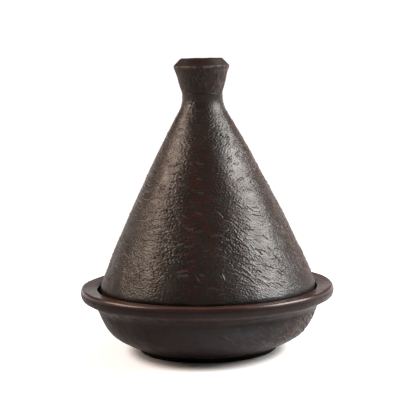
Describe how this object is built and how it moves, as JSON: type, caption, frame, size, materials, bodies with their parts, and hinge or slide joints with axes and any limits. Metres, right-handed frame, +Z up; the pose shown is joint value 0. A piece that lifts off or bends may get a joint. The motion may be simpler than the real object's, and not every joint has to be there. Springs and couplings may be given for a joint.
{
  "type": "tagine pot",
  "caption": "Earthenware tagine: a shallow footed dish with a wide rolled rim, and a tall scored conical lid with a flared knob that lifts off.",
  "frame": {"origin": "centre of the foot ring's standing face, on the surface that the pot stands on", "axes": "+Z up along the axis that every piece is turned about; the pot is round, so +X and +Y are any two level directions"},
  "size_m": [0.28, 0.28, 0.3213],
  "materials": {
    "dish_clay": "satin dark brown slip, worn to red terracotta on the rim's edges",
    "foot_clay": "matt smoke-blackened clay",
    "lid_clay": "satin burnished graphite-brown over scored clay, red clay on the ridges",
    "knob_clay": "satin dark brown, smooth, with pale worn edges"
  },
  "bodies": {
    "dish": {"dish_bowl": "dish_clay", "foot_ring": "foot_clay"},
    "lid": {"lid_cone": "lid_clay", "lid_knob": "knob_clay"}
  },
  "joints": [
    {"name": "lid_lift", "type": "slide", "parent": "dish", "child": "lid", "axis": [0, 0, 1], "range_m": [0, 0.2]}
  ]
}
